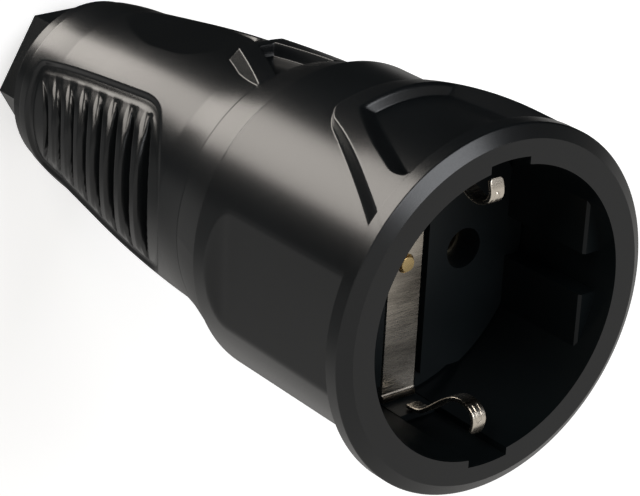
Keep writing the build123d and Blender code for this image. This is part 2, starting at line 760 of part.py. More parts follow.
with BuildPart() as grip_jacket:
    with BuildSketch(Plane.XZ):
        with BuildLine():
            grip_profile(0)
        make_face()
    revolve(axis=Axis.Z)
    add(scoop.part, mode=Mode.SUBTRACT)
    add(collar.part)
    add(collar_pocket.part, mode=Mode.SUBTRACT)
    add(panel_recess.part, mode=Mode.SUBTRACT)
    for index, place in enumerate(groove_places):
        share = index * groove_pitch / groove_run
        floor = groove_front_floor + (groove_rear_floor - groove_front_floor) * share
        for side in (1, -1):
            with BuildSketch(Plane.YZ.offset(side * floor)) as groove:
                with BuildLine(mode=Mode.PRIVATE):
                    groove_line = groove_arc(place, groove_end_margin)
                SlotArc(groove_line, groove_floor_width)
            extrude(groove.sketch, amount=side * groove_cut, taper=-groove_draft, mode=Mode.SUBTRACT)
    with BuildSketch(Plane.XZ) as core_space:
        with BuildLine():
            Polyline(
                (0, level(grip_start)),
                (core_front_radius + seat_gap, level(grip_start)),
                (core_rear_radius + seat_gap, level(grip_end)),
                (0, level(grip_end)),
                close=True,
            )
        make_face()
    revolve(core_space.sketch, axis=Axis.Z, mode=Mode.SUBTRACT)
grip_jacket.part.label = "grip_jacket"
export_step(grip_jacket.part, "parts/grip_jacket.step")

# Cable gland: seal and fingered cage on the throat, pressure ring and hexagon nut
ring_end = nut_start - nut_shank_length - seat_gap
cage_end = ring_end - pressure_ring_thickness - seat_gap
with BuildPart() as clamp_cage:
    drum(cage_radius, throat_end + seat_gap, cage_end)
    drum(cage_radius - cage_wall, throat_end, cage_end, Mode.SUBTRACT)
    for index in range(cage_slots // 2):
        with BuildSketch(Plane.XY.offset(level(cage_end))) as finger_slot:
            Rectangle(2 * cage_radius + cut_past, cage_slot_width, rotation=index * 360 / cage_slots)
        extrude(finger_slot.sketch, amount=cage_end - throat_end - cage_root, mode=Mode.SUBTRACT)
clamp_cage.part.label = "clamp_cage"
export_step(clamp_cage.part, "parts/clamp_cage.step")

with BuildPart() as cable_seal:
    drum(cage_radius - cage_wall - fit_gap, throat_end + seat_gap, cage_end - seal_drop)
    drum(seal_bore_radius, throat_end, cage_end, Mode.SUBTRACT)
cable_seal.part.label = "cable_seal"
export_step(cable_seal.part, "parts/cable_seal.step")

with BuildPart() as gland_ring:
    drum(cage_radius, ring_end - pressure_ring_thickness, ring_end)
    drum(nut_bore_radius, ring_end - pressure_ring_thickness, ring_end, Mode.SUBTRACT)
gland_ring.part.label = "gland_ring"
export_step(gland_ring.part, "parts/gland_ring.step")

with BuildPart() as gland_nut:
    corner_radius = nut_across_flats / math.sqrt(3)
    with BuildSketch(Plane.XY.offset(level(overall_length))) as hexagon:
        RegularPolygon(corner_radius, 6)
    extrude(hexagon.sketch, amount=nut_height)
    drum(nut_shank_radius, nut_start - nut_shank_length, nut_start)
    drum(nut_bore_radius, nut_start - nut_shank_length, overall_length, Mode.SUBTRACT)
    mouth_edge = gland_nut.edges().filter_by(GeomType.CIRCLE).sort_by(Axis.Z)[0]
    chamfer(mouth_edge, length=nut_flare)
gland_nut.part.label = "gland_nut"
export_step(gland_nut.part, "parts/gland_nut.step")
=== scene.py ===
import math

import bpy
import numpy as np
from mathutils import Matrix, Vector


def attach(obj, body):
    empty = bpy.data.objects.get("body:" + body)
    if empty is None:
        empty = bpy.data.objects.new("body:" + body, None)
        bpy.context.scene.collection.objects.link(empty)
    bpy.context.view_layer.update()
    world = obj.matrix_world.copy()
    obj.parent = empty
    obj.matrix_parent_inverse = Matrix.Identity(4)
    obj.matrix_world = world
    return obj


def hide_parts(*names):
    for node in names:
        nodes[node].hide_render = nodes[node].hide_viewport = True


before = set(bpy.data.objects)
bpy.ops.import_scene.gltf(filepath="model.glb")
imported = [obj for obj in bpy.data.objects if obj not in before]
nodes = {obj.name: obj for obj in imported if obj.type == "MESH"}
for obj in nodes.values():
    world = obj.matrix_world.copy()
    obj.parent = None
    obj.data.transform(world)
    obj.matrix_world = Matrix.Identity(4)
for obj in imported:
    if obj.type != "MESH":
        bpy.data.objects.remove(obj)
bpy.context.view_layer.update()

overall = 0.0979
overall_mm = overall * 1000.0


class Tree:
    """Builds the node tree of one material, or of the world: node() adds any kind of node."""

    def __init__(self, name, world=False):
        self.block = (bpy.data.worlds if world else bpy.data.materials).new(name)
        self.block.use_nodes = True
        self.tree = self.block.node_tree
        self.tree.nodes.clear()
        kind = "ShaderNodeOutputWorld" if world else "ShaderNodeOutputMaterial"
        self.output = self.tree.nodes.new(kind)

    def link(self, source, target):
        """Joins a socket to an input, or sets the input to a plain number or colour."""
        if isinstance(source, Socket):
            source = source.socket
        if isinstance(source, bpy.types.NodeSocket):
            self.tree.links.new(source, target)
        else:
            target.default_value = source

    def node(self, kind, inputs=None, output=0, **settings):
        """Adds a node, sets its properties and inputs, and gives back one of its outputs."""
        made = self.tree.nodes.new(kind)
        for key, setting in settings.items():
            setattr(made, key, setting)
        for key, source in (inputs or {}).items():
            self.link(source, made.inputs[key])
        return Socket(self, made.outputs[output])

    def surface(self, shader):
        """Joins the finished shader to the output, and gives back the material or the world."""
        self.link(shader, self.output.inputs["Surface"])
        return self.block


class Socket:
    """An output socket that takes part in sums, so that formulas read as formulas."""

    def __init__(self, owner, socket):
        self.owner = owner
        self.socket = socket

    def maths(self, operation, *others):
        """Result of a maths node that takes this socket first and the others after it."""
        made = self.owner.tree.nodes.new("ShaderNodeMath")
        made.operation = operation
        self.owner.link(self.socket, made.inputs[0])
        for place, other in enumerate(others, 1):
            self.owner.link(other, made.inputs[place])
        return Socket(self.owner, made.outputs[0])

    def __add__(self, other):
        return self.maths("ADD", other)

    def __sub__(self, other):
        return self.maths("SUBTRACT", other)

    def __mul__(self, other):
        return self.maths("MULTIPLY", other)

    def __radd__(self, other):
        return self.maths("ADD", other)

    def __rsub__(self, other):
        return self.maths("MULTIPLY", -1.0).maths("ADD", other)

    def __rmul__(self, other):
        return self.maths("MULTIPLY", other)

    def ramp(self, lower, upper, start=0.0, end=1.0):
        """Smooth step from start to end while the value goes from lower to upper."""
        made = self.owner.tree.nodes.new("ShaderNodeMapRange")
        made.interpolation_type = "SMOOTHSTEP"
        self.owner.link(self.socket, made.inputs["Value"])
        made.inputs["From Min"].default_value = lower
        made.inputs["From Max"].default_value = upper
        made.inputs["To Min"].default_value = start
        made.inputs["To Max"].default_value = end
        return Socket(self.owner, made.outputs["Result"])


# Noise values lie mostly within these spans
grain_span = (0.3, 0.7)
patch_span = (0.35, 0.7)
tarnish_and_reflection_span = (0.38, 0.66)


def moulded(name, colour, roughness, grain, grain_depth, specular=0.5):
    """Moulded plastic or rubber.

    A fine noise of the stated grain bumps the surface and makes the roughness uneven, and a slow
    noise varies the tone. The mix goes from black to twice the colour by half the tone, because
    its factor can't pass one and the tone can.
    """
    patch_scale = 45.0
    patch_tone = (0.85, 1.2)
    rough_play = 0.02
    black_end = (0.0, 0.0, 0.0, 1.0)
    double = tuple(2 * c for c in colour) + (1.0,)
    t = Tree(name)
    place = t.node("ShaderNodeTexCoord", output="Object")
    fine = t.node("ShaderNodeTexNoise", {"Vector": place, "Scale": grain, "Detail": 3.0})
    broad = t.node("ShaderNodeTexNoise", {"Vector": place, "Scale": patch_scale, "Detail": 4.0})
    tone = broad.ramp(*patch_span, *patch_tone)
    shade = t.node("ShaderNodeMix", {"Factor": tone * 0.5, "A": black_end, "B": double},
                   output="Result", data_type="RGBA")
    rough = fine.ramp(*grain_span, roughness - rough_play, roughness + rough_play)
    bump = t.node("ShaderNodeBump", {"Height": fine, "Strength": 1.0, "Distance": grain_depth})
    shader = t.node("ShaderNodeBsdfPrincipled", {
        "Base Color": shade, "Roughness": rough, "Normal": bump, "Specular IOR Level": specular,
    })
    return t.surface(shader)


def metal(name, colour, roughness, brushed, dark_band_share=0.72):
    """Plated or bare metal: stretched noise gives brush lines along X, and a slow noise the bands.

    The bands lie across the brush lines and take the colour down to the dark band share: partly
    tarnished metal, partly painted light and dark reflections.
    """
    brush_scale = (400.0, 5200.0, 5200.0)
    brush_depth = 0.000004
    band_scale = (55.0, 210.0, 210.0)
    bright = colour + (1.0,)
    dark = tuple(dark_band_share * c for c in colour) + (1.0,)
    t = Tree(name)
    place = t.node("ShaderNodeTexCoord", output="Object")
    mapped = t.node("ShaderNodeMapping", {"Vector": place, "Scale": brush_scale})
    lines = t.node("ShaderNodeTexNoise", {"Vector": mapped, "Scale": 1.0, "Detail": 2.0})
    bands = t.node("ShaderNodeMapping", {"Vector": place, "Scale": band_scale})
    broad = t.node("ShaderNodeTexNoise", {"Vector": bands, "Scale": 1.0, "Detail": 4.0})
    # Bands of painted light and dark reflection, partly tarnished metal
    tarnish_and_reflection = broad.ramp(*tarnish_and_reflection_span)
    shade = t.node("ShaderNodeMix", {"Factor": tarnish_and_reflection, "A": bright, "B": dark},
                   output="Result", data_type="RGBA")
    rough = lines.ramp(*grain_span, roughness - 0.04, roughness + 0.05)
    bump = t.node("ShaderNodeBump", {"Height": lines, "Strength": brushed, "Distance": brush_depth})
    shader = t.node("ShaderNodeBsdfPrincipled", {
        "Base Color": shade, "Roughness": rough, "Normal": bump, "Metallic": 1.0,
    })
    return t.surface(shader)


# Materials. A grain is in waves for each metre, and its depth in metres
black = (0.003, 0.0038, 0.0045)
satin = 0.25
fine_grain = 5200.0
soft_grain = 4600.0
coarse_grain = 4000.0
satin_depth = 0.0000006
rubber = moulded("satin_rubber", black, satin, fine_grain, satin_depth)
jacket = moulded("grip_rubber", black, satin, soft_grain, satin_depth)
core = moulded("core_plastic", black, satin, fine_grain, satin_depth)
# Darker, less shiny copy of the satin rubber for the mouth and bore: painted shade inside the recess
recess_painted_shade = moulded("recess_rubber_painted_shade", (0.003, 0.0045, 0.0052), 0.3, fine_grain, satin_depth, specular=0.22)
insert = moulded("insert_plastic", (0.004, 0.006, 0.007), 0.36, coarse_grain, 0.000002, specular=0.3)
seal = moulded("seal_rubber", (0.02, 0.02, 0.02), 0.55, coarse_grain, 0.00002)
clamp = moulded("clamp_plastic", (0.22, 0.22, 0.22), 0.45, coarse_grain, 0.00001)
nut_plastic = moulded("nut_plastic", black, satin, fine_grain, satin_depth)
# The strip's deep light and dark bands are painted reflections as much as tarnished metal
nickel = metal("nickel_strip", (0.8, 0.73, 0.63), 0.26, 0.6, dark_band_share=0.5)
brass = metal("brass", (0.83, 0.62, 0.3), 0.25, 0.3)
# Contact sleeves far darker than plating: painted shade for the inside of the socket holes
sleeve_painted_shade = metal("plated_sleeve_painted_shade", (0.2, 0.18, 0.13), 0.45, 0.3)
steel = metal("screw_steel", (0.6, 0.6, 0.6), 0.28, 0.3)

dress = {
    "front_housing": rubber, "socket_insert": insert, "earth_strip": nickel, "earth_stud": brass,
    "insert_cover": insert, "live_contact": sleeve_painted_shade, "neutral_contact": sleeve_painted_shade,
    "live_terminal": brass, "neutral_terminal": brass, "earth_terminal": brass,
    "live_terminal_screw": steel, "neutral_terminal_screw": steel, "earth_terminal_screw": steel,
    "insert_screw_upper": steel, "insert_screw_lower": steel,
    "rear_housing": core, "grip_jacket": jacket, "joint_gasket": seal, "clamp_cage": clamp,
    "cable_seal": seal, "gland_ring": clamp, "gland_nut": nut_plastic,
}
for node_name, material in dress.items():
    mesh = nodes[node_name].data
    mesh.materials.clear()
    mesh.materials.append(material)


# Moulded outer surfaces, in millimetres: a is the angle around the axis from the thumb side
# towards +X, s is |sin a| and c is cos a, and d is the depth below the mouth


def high(one, other, band):
    """Larger of two radii, with the edge where they cross rounded over a band."""
    share = np.clip(0.5 + 0.5 * (one - other) / band, 0.0, 1.0)
    return other + (one - other) * share + band * share * (1.0 - share)


def low(one, other, band):
    """Smaller of two radii, with the edge where they cross rounded over a band."""
    return -high(-one, -other, band)


def ease(value, start, end):
    """Smooth step: nought below start, one above end, 3t^2 - 2t^3 between them."""
    t = np.clip((value - start) / (end - start), 0.0, 1.0)
    return t * t * (3.0 - 2.0 * t)


def taken_off(past, rounding):
    """What an edge rounded with radius r loses at the distance x past its start: r - sqrt(r^2 - x^2)."""
    x = np.clip(past, 0.0, rounding)
    return rounding - np.sqrt(rounding * rounding - x * x)


def arc3(d, first, middle, last):
    """Parabola through three points given as (depth, radius), which stands for a flat arc."""
    (d0, r0), (d1, r1), (d2, r2) = first, middle, last
    return (
        r0 * (d - d1) * (d - d2) / ((d0 - d1) * (d0 - d2))
        + r1 * (d - d0) * (d - d2) / ((d1 - d0) * (d1 - d2))
        + r2 * (d - d0) * (d - d1) / ((d2 - d0) * (d2 - d1))
    )


def plane_radius(distance, share, least):
    """Radius of a plane, its distance from the axis / share, or far out below the least share."""
    far_out = 60.0
    return np.where(share > least, distance / np.clip(share, least, 1.0), far_out)


def spaced(*runs):
    """Grid values made of runs (start, end, step), joined without repeating a value."""
    pieces = [np.linspace(start, end, max(int(round((end - start) / step)), 1), endpoint=False)
              for start, end, step in runs]
    return np.concatenate(pieces + [np.array([runs[-1][1]])])


def corner_reach(depth, line_at, line_slope, end, radius, sign):
    """Half width of an outline with a straight slanted side and a rounded corner at its end.

    The side is line_at - line_slope * depth. The corner's circle touches the side and the end
    line, and sign says whether the end is the greater or the lesser depth.
    """
    lean = math.hypot(1.0, line_slope)
    middle_d = end - sign * radius
    middle_x = line_at - line_slope * middle_d - radius * lean
    touch = middle_d + radius * line_slope / lean
    bend = middle_x + np.sqrt(np.clip(radius**2 - (depth - middle_d)**2, 0.0, None))
    past = depth > touch if sign > 0 else depth < touch
    return np.where(past, bend, line_at - line_slope * depth)


flange_radius = 24.98
flange_end = 3.3
front_end = 34.4
seam_rounding = 0.3


def saddle_radius(s, c, d):
    """Radius of the thumb saddle inside its outline, and nought outside it.

    Its top lies at the flange's radius, falls off parabolically from the crest on and ends in a
    straight heel. Its sides are planes at the outline's half width, x = W(d).
    """
    crest, length, drop = 10.0, 14.1, 1.9
    heel_slope = 0.783
    half_width, closing, corner = 18.2, 0.42, 7.0
    end = 25.3
    fall = flange_radius - drop * np.clip((d - crest) / length, 0.0, None)**2
    heel = flange_radius - drop - heel_slope * (d - crest - length)
    top = low(fall, heel, band=0.25)
    width = corner_reach(d, half_width + closing * flange_end, closing, end, corner, 1)
    side = plane_radius(width, s, least=0.05)
    return np.where((c > 0) & (d < end + 0.05), low(top, side, band=0.14), 0.0)


def pocket_radius(s, c, d):
    """Radius of the thumb pocket: a round floor, a leaning rear wall and two leaning side walls.

    The side walls are planes x = W(d) + k (h - h0), with h the height over the axis, so their
    radius is (h0 - W / k) / (cos a - |sin a| / k).
    """
    floor, rear_foot, rear_slope = 22.42, 19.1, 0.45
    half_width, width_at, closing, corner = 9.45, 11.25, 0.77, 1.9
    lean, lean_height = 2.1, 20.365
    width = corner_reach(d, half_width + closing * width_at, closing, flange_end, corner, -1)
    wall = (lean_height - width / lean) / np.clip(c - s / lean, 0.05, None)
    rear = floor + (d - rear_foot) / rear_slope
    return high(floor + 0.0 * s, high(wall, rear, band=0.55), band=0.2)


def flat_radius(s, d):
    """Radius of the side flats, planes at X that curve outwards towards the rear: r = X / |sin a|."""
    plane, run_out_start, run_out_length = 20.8, 27.8, 4.0
    run_out, power, furthest = 2.05, 3.1, 1.6
    share = np.clip((d - run_out_start) / run_out_length, 0.0, furthest)
    return plane_radius(plane + run_out * share**power, s, least=0.6)


def front_skin(a, d):
    """Radius of the front housing: flange, body, thumb saddle, thumb pocket and side flats.

    The flange steps down to a slightly drafted body. The saddle stands on the body, and the pocket
    and the flats are cut from both. The rim has a chamfer r = r0 + k d, and all meet in rounded
    edges.
    """
    body_radius, body_draft = 22.45, 0.11
    rim_radius, chamfer_slope = 23.24, 1.626
    s = np.abs(np.sin(a))
    c = np.cos(a)
    body = body_radius - body_draft * (d - flange_end) / (front_end - flange_end)
    behind = ease(d, 3.1, 3.45)
    radius = body + (flange_radius - body) * (1.0 - behind)
    radius = high(radius, saddle_radius(s, c, d), band=0.07)
    inside = behind * (c > 0.5)
    radius = radius + (low(radius, pocket_radius(s, c, d), band=0.16) - radius) * inside
    radius = radius + (low(radius, flat_radius(s, d), band=0.12) - radius) * behind
    radius = low(radius, rim_radius + chamfer_slope * d, band=0.14)
    return radius - taken_off(d - (front_end - seam_rounding), seam_rounding)


jacket_start = 41.0
jacket_end = 90.2
panel_start = 55.0
panel_length = 32.7
panel_border = 1.7
rib_pitch = 4.2
rib_bow = 3.4
rib_count = 7


def grip_profile(d):
    """Radius of the plain grip, made of flat arcs and one straight waist, with both ends rounded."""
    shoulder = (47.5, 18.78)
    hip = (72.0, 16.4)
    heel = (82.0, 14.85)
    waist_slope = 0.155
    end_rounding = 0.25
    flare = arc3(d, (jacket_start, 20.1), (44.2, 19.36), shoulder)
    belly = arc3(d, shoulder, (60.0, 17.96), hip)
    waist = hip[1] - waist_slope * (d - hip[0])
    tail = arc3(d, heel, (86.1, 14.46), (jacket_end, 13.75))
    behind_hip = np.where(d < heel[0], waist, tail)
    radius = np.where(d < shoulder[0], flare, np.where(d < hip[0], belly, behind_hip))
    radius = radius - end_rounding * ease(d, jacket_end - 0.35, jacket_end)
    return radius - taken_off(jacket_start + end_rounding - d, end_rounding)


def scooped(radius, a, d):
    """Cuts the thumb scoop. Its floor is flat across at the height h, so its radius is h / cos a.

    Its outline is a strip of constant width with a round nose.
    """
    start, end, half_width = 55.3, 82.3, 6.67
    c = np.cos(a)
    nose_middle = start + half_width
    rise = arc3(d, (start, 16.55), (68.8, 15.63), (end, 15.0))
    flat = plane_radius(rise, c, least=0.6)
    x = radius * np.sin(a)
    past = np.where(d < nose_middle, np.hypot(x, d - nose_middle), np.abs(x)) - half_width
    held = (1.0 - ease(past, -0.35, 0.15)) * (d < end)
    return radius + (low(radius, flat, band=0.1) - radius) * held


def collared(radius, s, c, d):
    """Adds the collar behind the saddle and sinks its pocket.

    The collar's side walls are planes |x| + k h = W(d), so their radius is W / (|sin a| + k cos a).
    Its heel is a plane k h = D - d, so its radius is (D - d) / (k cos a). The pocket is a wedge
    that narrows towards the tail, down to a round floor.
    """
    top, side_reach, closing, side_lean = 20.3, 18.31, 0.335, 0.57
    heel_depth, heel_lean = 62.733, 0.6
    floor, mean_radius = 18.4, 19.3
    tip_depth, tip_half_width, opening = 48.7, 1.3, 0.4
    near = (c > 0.75) & (d < 54.0)
    side = (side_reach - closing * (d - jacket_start)) / np.clip(s + side_lean * c, 0.3, None)
    heel = (heel_depth - d) / np.clip(heel_lean * c, 0.3, None)
    collar = low(top + 0.0 * s, low(side, heel, band=0.35), band=0.12)
    radius = np.where(near, high(radius, collar, band=0.06), radius)
    past = mean_radius * s - tip_half_width - opening * (tip_depth - d)
    hollow = (1.0 - ease(past, -0.05, 0.28)) * (1.0 - ease(d, 49.15, 49.5)) * near
    return radius + (floor - radius) * hollow * (radius > floor)


def panel_half(d):
    """Half width of the finger panel: the sides bow, and close in towards the tail."""
    half_width, closing, side_bow = 13.1, 5.0, 1.6
    share = (d - panel_start) / panel_length
    return half_width - closing * share + side_bow * share * (1.0 - share)


def panel_edge(t, d):
    """Signed distance to the finger panel's outline, which is less than nought inside.

    The front is an arc and the rear is straight, and the corners are rounded.
    """
    front_middle, front_radius, never = 61.6, 14.2, -20.0
    side = np.abs(t) - panel_half(d)
    front = np.hypot(t, d - front_middle) - front_radius
    front = np.where(d < front_middle, front, never)
    rear = d - (panel_start + panel_length)
    return high(high(side, front, band=1.5), rear, band=1.6)


def nearest_line(along, first, count):
    """Number of the nearest of a row of lines one pitch apart, and the distance to it."""
    number = np.clip(np.round((along - first) / rib_pitch), 0, count - 1)
    return number, np.abs(along - first - rib_pitch * number)


def ribbed(radius, s, c, d):
    """Works the finger panels: channel, dished field, blunt ribs and spindle grooves.

    A soft channel follows the outline, and the field inside it is dished by a share of its width.
    Ribs and grooves lie on arcs d = d0 + B (t / w)^2 across the panel, t being the way across. A
    distance along the depth becomes a distance square to the arc when it is divided by
    sqrt(1 + (2 B t / w^2)^2). The grooves have a flat floor at x, whose radius is x / |sin a|.
    """
    channel_depth, field_rise, field_dish, rib_height = 0.62, 0.12, 0.032, 0.38
    first_floor, floor_fall, groove_slope, floor_half_width = 13.95, 1.35, 3.2, 0.25
    off_panel = 5.0
    on_side = s > 0.5
    t = radius * c
    half = panel_half(d)
    inner = half - panel_border
    edge = np.where(on_side, panel_edge(t, d), off_panel)
    sunk = field_rise * ease(-edge, 0.9, 1.7) - channel_depth * ease(-edge, -0.05, 0.5)
    dish = field_dish * half * np.clip(1.0 - (t / half)**2, 0.0, 1.0)
    sunk = sunk - dish * ease(-edge, 0.3, 1.5)
    along = d - rib_bow * (t / inner)**2
    square_to = 1.0 / np.sqrt(1.0 + (2.0 * rib_bow * t / inner**2)**2)
    off_rib = nearest_line(along, panel_start, rib_count)[1]
    rib = 1.0 - ease(off_rib * square_to, 0.55, 1.0)
    rib = rib * (1.0 - ease(np.abs(t) - inner, -2.6, 0.5)) * (edge < -0.9)
    radius = radius + np.where(on_side, sunk + rib_height * rib, 0.0)
    number, off_groove = nearest_line(along, panel_start - rib_pitch / 2, rib_count + 1)
    past_end = np.clip(np.abs(t) - (inner - 0.35), 0.0, None)
    off_groove = np.hypot(off_groove * square_to, past_end)
    wall = groove_slope * np.clip(off_groove - floor_half_width, 0.0, None)
    groove = (first_floor - floor_fall * number / rib_count + wall) / np.clip(s, 0.5, 1.0)
    return np.where(on_side & (edge < -0.5), low(radius, groove, band=0.16), radius)


def jacket_skin(a, d):
    """Radius of the grip jacket: flared grip, scoop, collar with its pocket, and finger panels."""
    s = np.abs(np.sin(a))
    c = np.cos(a)
    radius = scooped(grip_profile(d), a, d)
    radius = collared(radius, s, c, d)
    return ribbed(radius, s, c, d)


def placed(name, data):
    """New object in the scene that shows a mesh, a light or a camera."""
    made = bpy.data.objects.new(name, data)
    bpy.context.scene.collection.objects.link(made)
    return made


def lattice(name, angle_grid, depth_grid, radius, material, wrapped):
    """Mesh of a grid of angles and depths: x = r sin a, y = -r cos a, z = height less depth."""
    rows, columns = radius.shape
    points = np.stack([
        radius * np.sin(angle_grid), -radius * np.cos(angle_grid), overall_mm - depth_grid,
    ], axis=-1).reshape(-1, 3) * 0.001
    across = np.arange(columns if wrapped else columns - 1)
    j, i = np.meshgrid(np.arange(rows - 1), across, indexing="ij")
    after = (i + 1) % columns
    quads = np.stack([
        j * columns + i, (j + 1) * columns + i, (j + 1) * columns + after, j * columns + after,
    ], axis=-1).reshape(-1, 4)
    mesh = bpy.data.meshes.new(name)
    mesh.vertices.add(len(points))
    mesh.vertices.foreach_set("co", points.ravel().astype(np.float32))
    mesh.loops.add(quads.size)
    mesh.loops.foreach_set("vertex_index", quads.ravel().astype(np.int32))
    mesh.polygons.add(len(quads))
    mesh.polygons.foreach_set("loop_start", np.arange(0, quads.size, 4, dtype=np.int32))
    mesh.polygons.foreach_set("use_smooth", np.ones(len(quads), dtype=bool))
    mesh.update(calc_edges=True)
    mesh.validate()
    mesh.materials.append(material)
    return placed(name, mesh)


def smooth_piece(name, points, faces, sharp_degrees, material):
    """Object of points and faces, smooth apart from the edges that bend by more than an angle."""
    mesh = bpy.data.meshes.new(name)
    mesh.from_pydata(points.tolist(), [], faces)
    mesh.shade_smooth()
    mesh.set_sharp_from_angle(angle=math.radians(sharp_degrees))
    mesh.materials.append(material)
    return placed(name, mesh)


def inner_copy(node_name, keep, piece_name, sharp_degrees, material):
    """Copy of a CAD node's triangles that keep(radius, x, depth) accepts, merged and smoothed.

    Points that fall into the same cell of a thousandth of a millimetre become one.
    """
    source = nodes[node_name].data
    points = np.empty(len(source.vertices) * 3, np.float32)
    source.vertices.foreach_get("co", points)
    points = points.reshape(-1, 3)
    corners = np.empty(len(source.loops), np.int32)
    source.loops.foreach_get("vertex_index", corners)
    corners = corners.reshape(-1, 3)
    radius = np.hypot(points[:, 0], points[:, 1]) * 1000.0
    depth = (overall - points[:, 2]) * 1000.0
    kept = corners[keep(radius[corners], points[:, 0][corners] * 1000.0, depth[corners])]
    cells = np.round(points * 1e6).astype(np.int64)
    first, back = np.unique(cells, axis=0, return_index=True, return_inverse=True)[1:]
    faces = back.reshape(-1)[kept]
    one, two, three = faces.T
    faces = faces[(one != two) & (two != three) & (one != three)]
    used, numbers = np.unique(faces, return_inverse=True)
    return smooth_piece(piece_name, points[first[used]], numbers.reshape(-1, 3).tolist(),
                        sharp_degrees, material)


# Front housing: new outer surface on the solid's own mouth, bore and rear face
angles = np.radians(spaced((-180, -125, 1.5), (-125, -52, 0.8), (-52, 52, 0.3), (52, 125, 0.8),
                           (125, 178.5, 1.5)))
depths = spaced((0.0, 0.9, 0.15), (0.9, 1.3, 0.08), (1.3, 3.05, 0.35), (3.05, 3.5, 0.05),
                (3.5, 18.9, 0.26), (18.9, 19.35, 0.05), (19.35, 26.0, 0.22), (26.0, 34.1, 0.4),
                (34.1, front_end, 0.06))
depth_grid, angle_grid = np.meshgrid(depths, angles, indexing="ij")
front_outer = lattice("front_housing_outer", angle_grid, depth_grid, front_skin(angle_grid, depth_grid),
                      rubber, True)


def mouth_and_bore(radius, x, depth):
    """Accepts the triangles of the rim face, bore, grooves, ribs, tracks and rear face."""
    wall_radius, wall_x, slack = 21.1, 20.78, 0.001
    outside = ((radius > wall_radius) | (np.abs(x) > wall_x)).all(axis=1)
    end_face = (depth < slack).all(axis=1) | (depth > front_end - slack).all(axis=1)
    return ~outside | end_face


def strip_and_legs(radius, x, depth):
    """Accepts the triangles of the strip and its legs, and leaves out the two narrow hooks."""
    hooks_end = 13.59
    return (depth > hooks_end).all(axis=1)


# The mouth and bore take the darker, less shiny rubber, which is painted shade, and the rim face keeps
# the look of the outer surface
front_inner = inner_copy("front_housing", mouth_and_bore, "front_housing_mouth", 28.0, recess_painted_shade)
front_inner.data.materials.append(rubber)
rim_height = overall - 0.00002
mouth_points = front_inner.data.vertices
for face in front_inner.data.polygons:
    face.material_index = int(all(mouth_points[v].co.z > rim_height for v in face.vertices))
for piece in (front_outer, front_inner):
    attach(piece, "front")
    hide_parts("front_housing")


def smooth_path(corners, steps):
    """Cubic B-spline through a list of (y, depth) corners, with both ends held."""
    held = np.array([corners[0]] * 2 + list(corners) + [corners[-1]] * 2)
    spots = []
    for k in range(len(held) - 3):
        t = np.linspace(0.0, 1.0, steps, endpoint=False)[:, None]
        p0, p1, p2, p3 = held[k:k + 4]
        spots.append(((1 - t)**3 * p0 + (3 * t**3 - 6 * t**2 + 4) * p1
                      + (3 * t * (1 + t) - 3 * t**3 + 1) * p2 + t**3 * p3) / 6)
    return np.concatenate(spots)


def sprung_hook(name, side):
    """Hook swept as a thin band along a smooth path, its tip rounded and a slot pressed in it.

    With the half width w and the corner radius r, the half width at a distance e from the tip is
    w - r + sqrt(r^2 - (r - e)^2) while e < r. The slot is a U on the face towards the mouth, sunk
    by a smooth step of the distance from its line.
    """
    half_width, half_thick, corner = 1.1, 0.3, 0.55
    edge_start, edge_loss = 0.86, 0.12
    slot_radius, slot_middle, slot_end, slot_depth = 0.42, 2.2, 4.0, 0.12
    line = smooth_path([(19.2, 15.0), (19.2, 12.4), (16.3, 9.4), (13.7, 6.0), (14.1, 3.0),
                        (15.6, 1.9), (17.6, 2.7)], 14)
    tangent = np.gradient(line, axis=0)
    step = np.hypot(tangent[:, 0], tangent[:, 1])
    tangent = tangent / step[:, None]
    outward = np.stack([tangent[:, 1], -tangent[:, 0]], axis=1)
    from_tip = np.cumsum(step[::-1])[::-1] - step[-1]
    half = half_width - taken_off(corner - from_tip, corner)
    across = np.linspace(-1.0, 1.0, 41)
    past = np.clip((np.abs(across) - edge_start) / (1.0 - edge_start), 0.0, 1.0)
    edge = half_thick - edge_loss * past**2
    u = half[:, None] * across[None, :]
    e = np.repeat(from_tip[:, None], len(across), axis=1)
    reach = np.hypot(u, np.clip(slot_middle - e, 0.0, None))
    slot = (1.0 - ease(np.abs(reach - slot_radius), 0.05, 0.14)) * (e < slot_end)
    top = edge[None, :] - slot_depth * slot
    under = np.repeat(-edge[None, :], len(line), axis=0)
    loop_x = np.concatenate([u, u[:, ::-1]], axis=1)
    loop_v = np.concatenate([top, under[:, ::-1]], axis=1)
    y = line[:, :1] + outward[:, :1] * loop_v
    depth = line[:, 1:] + outward[:, 1:] * loop_v
    points = np.stack([loop_x, side * y, overall_mm - depth], axis=-1) * 0.001
    rows, columns = loop_x.shape
    order = 1 if side > 0 else -1
    last_row = (rows - 1) * columns
    faces = [tuple(range(columns))[::order], tuple(range(last_row, last_row + columns))[::-order]]
    for j in range(rows - 1):
        for i in range(columns):
            after = (i + 1) % columns
            faces.append((j * columns + i, (j + 1) * columns + i, (j + 1) * columns + after,
                          j * columns + after)[::order])
    return smooth_piece(name, points.reshape(-1, 3), faces, 55.0, nickel)


strip_copy = inner_copy("earth_strip", strip_and_legs, "earth_strip_legs", 50.0, nickel)
for piece in (strip_copy, sprung_hook("earth_hook_near", 1), sprung_hook("earth_hook_far", -1)):
    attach(piece, "front")
    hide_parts("earth_strip")

# Grip jacket: two panel sides and the sectors between them, each closed round its section
panel_rows = spaced((jacket_start, 41.3, 0.06), (41.3, 47.2, 0.3), (47.2, 88.2, 0.2),
                    (88.2, 89.8, 0.3), (89.8, jacket_end, 0.1))
thumb_rows = spaced((jacket_start, 41.3, 0.06), (41.3, 54.6, 0.1), (54.6, 56.0, 0.15),
                    (56.0, 81.9, 0.35), (81.9, 82.6, 0.1), (82.6, 89.8, 0.4), (89.8, jacket_end, 0.1))


